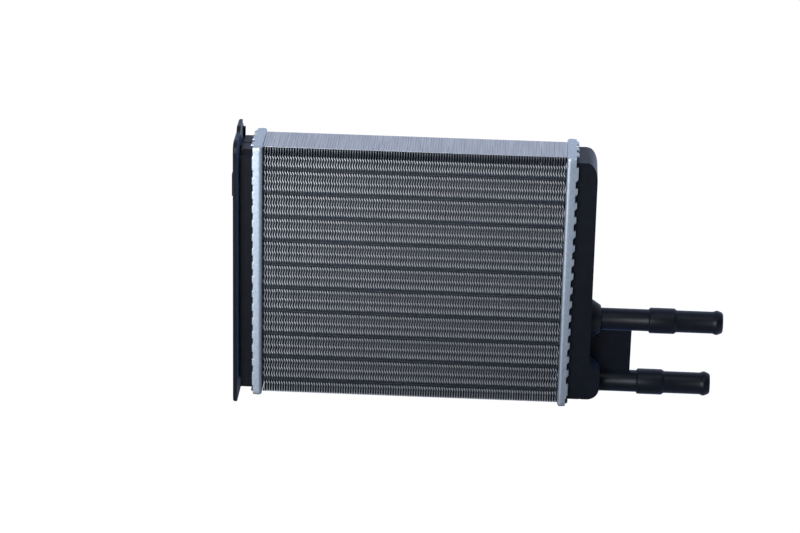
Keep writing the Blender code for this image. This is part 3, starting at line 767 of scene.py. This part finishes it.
def buildFloor():
    bm = bmesh.new()
    bmesh.ops.create_grid(bm, x_segments=1, y_segments=1, size=studio["floorSize"] / 2)
    mesh = bpy.data.meshes.new("studioFloor")
    bm.to_mesh(mesh)
    bm.free()
    floor = bpy.data.objects.new("studioFloor", mesh)
    floor.location = (0, 0, -studio["floorDrop"])
    bpy.context.scene.collection.objects.link(floor)
    made, tree, shader, place = startMaterial("paintedStudioFloor", {
        "Base Color": hexColour(studio["floor"]), "Roughness": studio["floorRoughness"],
        "Specular IOR Level": studio["floorSpecular"]})
    path = addNode(tree, "ShaderNodeLightPath")
    apart = addNode(tree, "ShaderNodeSeparateXYZ", links={"Vector": place})
    away = apart.outputs["Y"]
    for direction, distance, gain in studio["glowSides"]:
        past = addNode(tree, "ShaderNodeMath", {
            "operation": "MULTIPLY_ADD", 1: direction, 2: -distance}, {0: apart.outputs["X"]})
        beyond = addNode(tree, "ShaderNodeMath", {"operation": "MAXIMUM", 1: 0.0}, {0: past})
        away = addNode(tree, "ShaderNodeMath", {"operation": "MULTIPLY_ADD", 1: gain},
                       {0: beyond, 2: away})
    behind = addNode(tree, "ShaderNodeMapRange", {"From Min": 0.0, "From Max": studio["glowBlend"]},
                     {"Value": away})
    seen = addNode(tree, "ShaderNodeMath", {"operation": "MULTIPLY", 1: studio["cameraGlow"]},
                   {0: path.outputs["Is Camera Ray"]})
    strength = addNode(tree, "ShaderNodeMath", {"operation": "MAXIMUM"}, {0: seen, 1: behind})
    glow = addNode(tree, "ShaderNodeEmission", {"Color": white}, {"Strength": strength})
    glossy = addNode(tree, "ShaderNodeMath", {"operation": "MULTIPLY", 1: studio["glossyShare"]},
                     {0: path.outputs["Is Glossy Ray"]})
    share = addNode(tree, "ShaderNodeMath", {"operation": "MULTIPLY_ADD", 1: studio["cameraShare"]},
                    {0: path.outputs["Is Camera Ray"], 2: glossy})
    mix = addNode(tree, "ShaderNodeMixShader", links={"Fac": share, 1: shader, 2: glow})
    tree.links.new(mix.outputs["Shader"], tree.get_output_node("ALL").inputs["Surface"])
    floor.data.materials.append(made)


def buildSurround():
    world = bpy.data.worlds.new("studioSurround")
    bpy.context.scene.world = world
    world.use_nodes = True
    tree = world.node_tree
    tree.nodes.clear()
    toward = addNode(tree, "ShaderNodeTexCoord").outputs["Generated"]
    apart = addNode(tree, "ShaderNodeSeparateXYZ", links={"Vector": toward})
    fade = addNode(tree, "ShaderNodeMapRange", {
        "From Min": studio["front"], "From Max": studio["back"],
        "To Min": studio["frontStrength"], "To Max": studio["backStrength"]},
        {"Value": apart.outputs["Y"]})
    lit = addNode(tree, "ShaderNodeBackground", {"Color": hexColour(studio["surround"])},
                  {"Strength": fade})
    plain = addNode(tree, "ShaderNodeBackground", {"Color": white, "Strength": 1.0})
    camera = addNode(tree, "ShaderNodeLightPath").outputs["Is Camera Ray"]
    mix = addNode(tree, "ShaderNodeMixShader", links={"Fac": camera, 1: lit, 2: plain})
    addNode(tree, "ShaderNodeOutputWorld", links={"Surface": mix})


# Lamps: a softbox low at the left, which lights the header plates, and a broad one overhead.
lamps = {
    "leftSoftbox": {"place": (-0.68, -1.35, 0.42), "target": (-0.05, 0, 0.1), "width": 0.7,
                    "height": 0.6, "power": 18.5, "colour": "f3f7ff"},
    "topSoftbox": {"place": (0.2, -1.0, 2.2), "target": (0, 0, 0.1), "width": 2.2,
                   "height": 1.4, "power": 12, "colour": "f3f7ff"},
}


def addLamp(name, place, target, width, height, power, colour):
    data = bpy.data.lights.new(name, "AREA")
    data.shape = "RECTANGLE"
    data.size = width
    data.size_y = height
    data.energy = power
    data.color = hexColour(colour)[:3]
    lamp = bpy.data.objects.new(name, data)
    lamp.location = place
    lamp.rotation_euler = (Vector(target) - Vector(place)).to_track_quat("-Z", "Y").to_euler()
    bpy.context.scene.collection.objects.link(lamp)


# Camera: 2.46 m away, looking down at the front. Its focal length is in pixels of an 800 pixel
# wide picture, which makes a 137.2 mm lens on a 36 mm sensor.
view = {"place": (0.03635, -2.2402, 1.0055), "pitch": 21.75, "yaw": -2.54, "roll": 1.18,
        "focal": 3049.8, "sensor": 36, "picture": 800, "reach": 100}


def buildCamera():
    pitch, yaw, roll = (math.radians(view[k]) for k in ("pitch", "yaw", "roll"))
    level = math.cos(pitch)
    forward = Vector((math.sin(yaw) * level, math.cos(yaw) * level, -math.sin(pitch)))
    right = Vector((math.cos(yaw), -math.sin(yaw), 0))
    up = right.cross(forward)
    rolledRight = math.cos(roll) * right + math.sin(roll) * up
    rolledUp = math.cos(roll) * up - math.sin(roll) * right
    turn = Matrix((rolledRight, rolledUp, -forward)).transposed()
    data = bpy.data.cameras.new("photoCamera")
    data.sensor_width = view["sensor"]
    data.lens = view["focal"] * view["sensor"] / view["picture"]
    data.clip_end = view["reach"]
    camera = bpy.data.objects.new("photoCamera", data)
    camera.matrix_world = Matrix.Translation(view["place"]) @ turn.to_4x4()
    bpy.context.scene.collection.objects.link(camera)
    bpy.context.scene.camera = camera


buildFloor()
buildSurround()
for name, lamp in lamps.items():
    addLamp(name, **lamp)
buildCamera()
bpy.context.scene.view_settings.view_transform = "Standard"
print("studio and camera made")
